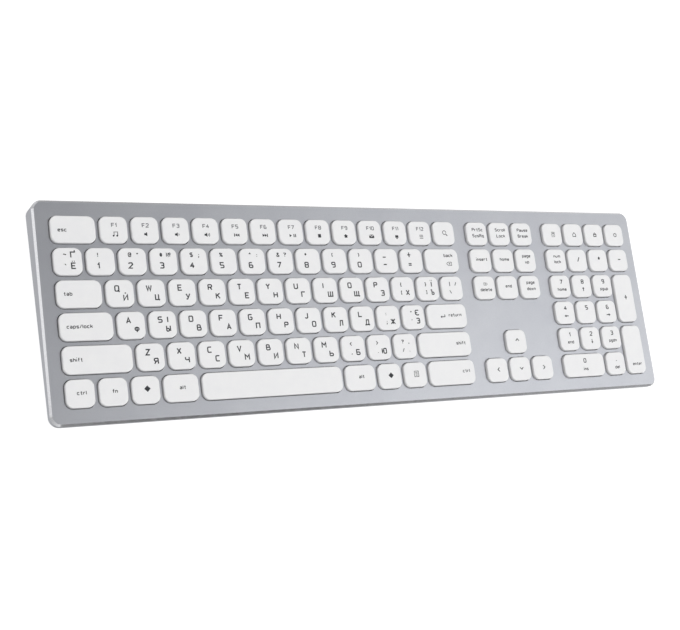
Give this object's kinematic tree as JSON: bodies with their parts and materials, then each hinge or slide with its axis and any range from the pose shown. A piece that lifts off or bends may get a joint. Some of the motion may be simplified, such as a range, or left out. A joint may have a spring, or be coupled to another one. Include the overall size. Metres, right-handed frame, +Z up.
{
  "type": "computer keyboard with numeric keypad",
  "caption": "Slim full-size keyboard with a numeric keypad: wedge-shaped aluminium shell, round-cornered white low-profile caps that press down, rear power switch and socket, rubber feet.",
  "frame": {"origin": "on the surface that it stands on, under the middle of its outer box", "axes": "+X to the typist's right along the rows of keys, +Y away from the typist, +Z up; the deck is tilted 4.28 degrees about X, its rear edge higher"},
  "size_m": [0.441, 0.1314, 0.0179],
  "materials": {
    "key_cap": "matte white moulded plastic with a fine texture and printed grey legends",
    "deck_aluminium": "fine-blasted anodised silver, with a bright cut chamfer round the rim",
    "cover_plastic": "silver-grey fine-textured moulding",
    "guide_plastic": "dark moulded plastic",
    "dome_silicone": "translucent grey silicone",
    "membrane_film": "polyester film",
    "steel_sheet": "zinc-plated sheet",
    "board_laminate": "green solder mask",
    "cell_foil": "silver laminated foil pouch",
    "port_steel": "plated steel shell",
    "knob_plastic": "dark grey moulded plastic",
    "foot_rubber": "matte dark grey rubber",
    "screw_steel": "zinc-plated screws",
    "wire_steel": "drawn spring wire"
  },
  "bodies": {
    "casing": {"deck_plate": "deck_aluminium", "bottom_cover": "cover_plastic", "key_guide_frame": "guide_plastic", "dome_sheet": "dome_silicone", "contact_membrane": "membrane_film", "backing_plate": "steel_sheet", "circuit_board": "board_laminate", "battery": "cell_foil", "usb_port": "port_steel", "foot_front_left": "foot_rubber", "foot_front_right": "foot_rubber", "foot_rear_left": "foot_rubber", "foot_rear_right": "foot_rubber", "screw_front_left": "screw_steel", "screw_front_right": "screw_steel", "screw_rear_left": "screw_steel", "screw_rear_right": "screw_steel"},
    "esc_key": {"esc_key": "key_cap"},
    "function_keys": {"function_keys": "key_cap"},
    "number_row_keys": {"number_row_keys": "key_cap"},
    "backspace_key": {"backspace_key": "key_cap"},
    "tab_key": {"tab_key": "key_cap"},
    "q_row_keys": {"q_row_keys": "key_cap"},
    "caps_lock_key": {"caps_lock_key": "key_cap"},
    "a_row_keys": {"a_row_keys": "key_cap"},
    "enter_key": {"enter_key": "key_cap"},
    "left_shift_key": {"left_shift_key": "key_cap"},
    "z_row_keys": {"z_row_keys": "key_cap"},
    "right_shift_key": {"right_shift_key": "key_cap"},
    "left_modifier_keys": {"left_modifier_keys": "key_cap"},
    "space_bar": {"space_bar": "key_cap"},
    "right_modifier_keys": {"right_modifier_keys": "key_cap"},
    "navigation_keys": {"navigation_keys": "key_cap"},
    "arrow_keys": {"arrow_keys": "key_cap"},
    "keypad_hotkey_1": {"keypad_hotkey_1": "key_cap"},
    "keypad_hotkey_2": {"keypad_hotkey_2": "key_cap"},
    "keypad_hotkey_3": {"keypad_hotkey_3": "key_cap"},
    "keypad_hotkey_4": {"keypad_hotkey_4": "key_cap"},
    "keypad_num_lock_key": {"keypad_num_lock_key": "key_cap"},
    "keypad_divide_key": {"keypad_divide_key": "key_cap"},
    "keypad_multiply_key": {"keypad_multiply_key": "key_cap"},
    "keypad_minus_key": {"keypad_minus_key": "key_cap"},
    "keypad_7_key": {"keypad_7_key": "key_cap"},
    "keypad_8_key": {"keypad_8_key": "key_cap"},
    "keypad_9_key": {"keypad_9_key": "key_cap"},
    "keypad_plus_key": {"keypad_plus_key": "key_cap"},
    "keypad_4_key": {"keypad_4_key": "key_cap"},
    "keypad_5_key": {"keypad_5_key": "key_cap"},
    "keypad_6_key": {"keypad_6_key": "key_cap"},
    "keypad_1_key": {"keypad_1_key": "key_cap"},
    "keypad_2_key": {"keypad_2_key": "key_cap"},
    "keypad_3_key": {"keypad_3_key": "key_cap"},
    "keypad_enter_key": {"keypad_enter_key": "key_cap"},
    "keypad_0_key": {"keypad_0_key": "key_cap"},
    "keypad_point_key": {"keypad_point_key": "key_cap"},
    "space_bar_wire": {"space_bar_wire": "wire_steel"},
    "keypad_zero_wire": {"keypad_zero_wire": "wire_steel"},
    "keypad_plus_wire": {"keypad_plus_wire": "wire_steel"},
    "keypad_enter_wire": {"keypad_enter_wire": "wire_steel"},
    "power_switch_knob": {"power_switch_knob": "knob_plastic"}
  },
  "joints": [
    {"name": "esc_press", "type": "slide", "parent": "casing", "child": "esc_key", "axis": [0, 0.0747, -0.9972], "range_m": [0, 0.0015], "stiffness_N_per_m": 230, "deforming": ["dome_sheet"]},
    {"name": "function_press", "type": "slide", "parent": "casing", "child": "function_keys", "axis": [0, 0.0747, -0.9972], "range_m": [0, 0.0015], "stiffness_N_per_m": 2990, "deforming": ["dome_sheet"]},
    {"name": "number_row_press", "type": "slide", "parent": "casing", "child": "number_row_keys", "axis": [0, 0.0747, -0.9972], "range_m": [0, 0.0015], "stiffness_N_per_m": 2990, "deforming": ["dome_sheet"]},
    {"name": "backspace_press", "type": "slide", "parent": "casing", "child": "backspace_key", "axis": [0, 0.0747, -0.9972], "range_m": [0, 0.0015], "stiffness_N_per_m": 230, "deforming": ["dome_sheet"]},
    {"name": "tab_press", "type": "slide", "parent": "casing", "child": "tab_key", "axis": [0, 0.0747, -0.9972], "range_m": [0, 0.0015], "stiffness_N_per_m": 230, "deforming": ["dome_sheet"]},
    {"name": "q_row_press", "type": "slide", "parent": "casing", "child": "q_row_keys", "axis": [0, 0.0747, -0.9972], "range_m": [0, 0.0015], "stiffness_N_per_m": 2990, "deforming": ["dome_sheet"]},
    {"name": "caps_lock_press", "type": "slide", "parent": "casing", "child": "caps_lock_key", "axis": [0, 0.0747, -0.9972], "range_m": [0, 0.0015], "stiffness_N_per_m": 230, "deforming": ["dome_sheet"]},
    {"name": "a_row_press", "type": "slide", "parent": "casing", "child": "a_row_keys", "axis": [0, 0.0747, -0.9972], "range_m": [0, 0.0015], "stiffness_N_per_m": 2530, "deforming": ["dome_sheet"]},
    {"name": "enter_press", "type": "slide", "parent": "casing", "child": "enter_key", "axis": [0, 0.0747, -0.9972], "range_m": [0, 0.0015], "stiffness_N_per_m": 230, "deforming": ["dome_sheet"]},
    {"name": "left_shift_press", "type": "slide", "parent": "casing", "child": "left_shift_key", "axis": [0, 0.0747, -0.9972], "range_m": [0, 0.0015], "stiffness_N_per_m": 230, "deforming": ["dome_sheet"]},
    {"name": "z_row_press", "type": "slide", "parent": "casing", "child": "z_row_keys", "axis": [0, 0.0747, -0.9972], "range_m": [0, 0.0015], "stiffness_N_per_m": 2300, "deforming": ["dome_sheet"]},
    {"name": "right_shift_press", "type": "slide", "parent": "casing", "child": "right_shift_key", "axis": [0, 0.0747, -0.9972], "range_m": [0, 0.0015], "stiffness_N_per_m": 230, "deforming": ["dome_sheet"]},
    {"name": "left_modifier_press", "type": "slide", "parent": "casing", "child": "left_modifier_keys", "axis": [0, 0.0747, -0.9972], "range_m": [0, 0.0015], "stiffness_N_per_m": 920, "deforming": ["dome_sheet"]},
    {"name": "space_bar_press", "type": "slide", "parent": "casing", "child": "space_bar", "axis": [0, 0.0747, -0.9972], "range_m": [0, 0.0015], "stiffness_N_per_m": 230, "deforming": ["dome_sheet"]},
    {"name": "right_modifier_press", "type": "slide", "parent": "casing", "child": "right_modifier_keys", "axis": [0, 0.0747, -0.9972], "range_m": [0, 0.0015], "stiffness_N_per_m": 920, "deforming": ["dome_sheet"]},
    {"name": "navigation_press", "type": "slide", "parent": "casing", "child": "navigation_keys", "axis": [0, 0.0747, -0.9972], "range_m": [0, 0.0015], "stiffness_N_per_m": 2070, "deforming": ["dome_sheet"]},
    {"name": "arrow_press", "type": "slide", "parent": "casing", "child": "arrow_keys", "axis": [0, 0.0747, -0.9972], "range_m": [0, 0.0015], "stiffness_N_per_m": 920, "deforming": ["dome_sheet"]},
    {"name": "keypad_hotkey_1_press", "type": "slide", "parent": "casing", "child": "keypad_hotkey_1", "axis": [0, 0.0747, -0.9972], "range_m": [0, 0.0015], "stiffness_N_per_m": 230, "deforming": ["dome_sheet"]},
    {"name": "keypad_hotkey_2_press", "type": "slide", "parent": "casing", "child": "keypad_hotkey_2", "axis": [0, 0.0747, -0.9972], "range_m": [0, 0.0015], "stiffness_N_per_m": 230, "deforming": ["dome_sheet"]},
    {"name": "keypad_hotkey_3_press", "type": "slide", "parent": "casing", "child": "keypad_hotkey_3", "axis": [0, 0.0747, -0.9972], "range_m": [0, 0.0015], "stiffness_N_per_m": 230, "deforming": ["dome_sheet"]},
    {"name": "keypad_hotkey_4_press", "type": "slide", "parent": "casing", "child": "keypad_hotkey_4", "axis": [0, 0.0747, -0.9972], "range_m": [0, 0.0015], "stiffness_N_per_m": 230, "deforming": ["dome_sheet"]},
    {"name": "keypad_num_lock_press", "type": "slide", "parent": "casing", "child": "keypad_num_lock_key", "axis": [0, 0.0747, -0.9972], "range_m": [0, 0.0015], "stiffness_N_per_m": 230, "deforming": ["dome_sheet"]},
    {"name": "keypad_divide_press", "type": "slide", "parent": "casing", "child": "keypad_divide_key", "axis": [0, 0.0747, -0.9972], "range_m": [0, 0.0015], "stiffness_N_per_m": 230, "deforming": ["dome_sheet"]},
    {"name": "keypad_multiply_press", "type": "slide", "parent": "casing", "child": "keypad_multiply_key", "axis": [0, 0.0747, -0.9972], "range_m": [0, 0.0015], "stiffness_N_per_m": 230, "deforming": ["dome_sheet"]},
    {"name": "keypad_minus_press", "type": "slide", "parent": "casing", "child": "keypad_minus_key", "axis": [0, 0.0747, -0.9972], "range_m": [0, 0.0015], "stiffness_N_per_m": 230, "deforming": ["dome_sheet"]},
    {"name": "keypad_7_press", "type": "slide", "parent": "casing", "child": "keypad_7_key", "axis": [0, 0.0747, -0.9972], "range_m": [0, 0.0015], "stiffness_N_per_m": 230, "deforming": ["dome_sheet"]},
    {"name": "keypad_8_press", "type": "slide", "parent": "casing", "child": "keypad_8_key", "axis": [0, 0.0747, -0.9972], "range_m": [0, 0.0015], "stiffness_N_per_m": 230, "deforming": ["dome_sheet"]},
    {"name": "keypad_9_press", "type": "slide", "parent": "casing", "child": "keypad_9_key", "axis": [0, 0.0747, -0.9972], "range_m": [0, 0.0015], "stiffness_N_per_m": 230, "deforming": ["dome_sheet"]},
    {"name": "keypad_plus_press", "type": "slide", "parent": "casing", "child": "keypad_plus_key", "axis": [0, 0.0747, -0.9972], "range_m": [0, 0.0015], "stiffness_N_per_m": 230, "deforming": ["dome_sheet"]},
    {"name": "keypad_4_press", "type": "slide", "parent": "casing", "child": "keypad_4_key", "axis": [0, 0.0747, -0.9972], "range_m": [0, 0.0015], "stiffness_N_per_m": 230, "deforming": ["dome_sheet"]},
    {"name": "keypad_5_press", "type": "slide", "parent": "casing", "child": "keypad_5_key", "axis": [0, 0.0747, -0.9972], "range_m": [0, 0.0015], "stiffness_N_per_m": 230, "deforming": ["dome_sheet"]},
    {"name": "keypad_6_press", "type": "slide", "parent": "casing", "child": "keypad_6_key", "axis": [0, 0.0747, -0.9972], "range_m": [0, 0.0015], "stiffness_N_per_m": 230, "deforming": ["dome_sheet"]},
    {"name": "keypad_1_press", "type": "slide", "parent": "casing", "child": "keypad_1_key", "axis": [0, 0.0747, -0.9972], "range_m": [0, 0.0015], "stiffness_N_per_m": 230, "deforming": ["dome_sheet"]},
    {"name": "keypad_2_press", "type": "slide", "parent": "casing", "child": "keypad_2_key", "axis": [0, 0.0747, -0.9972], "range_m": [0, 0.0015], "stiffness_N_per_m": 230, "deforming": ["dome_sheet"]},
    {"name": "keypad_3_press", "type": "slide", "parent": "casing", "child": "keypad_3_key", "axis": [0, 0.0747, -0.9972], "range_m": [0, 0.0015], "stiffness_N_per_m": 230, "deforming": ["dome_sheet"]},
    {"name": "keypad_enter_press", "type": "slide", "parent": "casing", "child": "keypad_enter_key", "axis": [0, 0.0747, -0.9972], "range_m": [0, 0.0015], "stiffness_N_per_m": 230, "deforming": ["dome_sheet"]},
    {"name": "keypad_0_press", "type": "slide", "parent": "casing", "child": "keypad_0_key", "axis": [0, 0.0747, -0.9972], "range_m": [0, 0.0015], "stiffness_N_per_m": 230, "deforming": ["dome_sheet"]},
    {"name": "keypad_point_press", "type": "slide", "parent": "casing", "child": "keypad_point_key", "axis": [0, 0.0747, -0.9972], "range_m": [0, 0.0015], "stiffness_N_per_m": 230, "deforming": ["dome_sheet"]},
    {"name": "space_bar_wire_turn", "type": "hinge", "parent": "casing", "child": "space_bar_wire", "pos_m": [-0.08406, -0.04315, 0.00573], "axis": [1, 0, 0], "range_deg": [0, 15.19]},
    {"name": "keypad_zero_wire_turn", "type": "hinge", "parent": "casing", "child": "keypad_zero_wire", "pos_m": [0.1555, -0.04315, 0.00573], "axis": [1, 0, 0], "range_deg": [0, 15.19]},
    {"name": "keypad_plus_wire_turn", "type": "hinge", "parent": "casing", "child": "keypad_plus_wire", "pos_m": [0.20802, -0.00054, 0.00892], "axis": [0, -0.9972, -0.0747], "range_deg": [0, 15.19]},
    {"name": "keypad_enter_wire_turn", "type": "hinge", "parent": "casing", "child": "keypad_enter_wire", "pos_m": [0.20802, -0.03854, 0.00607], "axis": [0, -0.9972, -0.0747], "range_deg": [0, 15.19]},
    {"name": "power_switch_slide", "type": "slide", "parent": "casing", "child": "power_switch_knob", "axis": [1, 0, 0], "range_m": [0, 0.003]}
  ],
  "couplings": [
    {"joint": "space_bar_wire_turn", "follows": "space_bar_press", "rad_per_m": 176.48},
    {"joint": "keypad_zero_wire_turn", "follows": "keypad_0_press", "rad_per_m": 176.48},
    {"joint": "keypad_plus_wire_turn", "follows": "keypad_plus_press", "rad_per_m": 176.48},
    {"joint": "keypad_enter_wire_turn", "follows": "keypad_enter_press", "rad_per_m": 176.48}
  ]
}
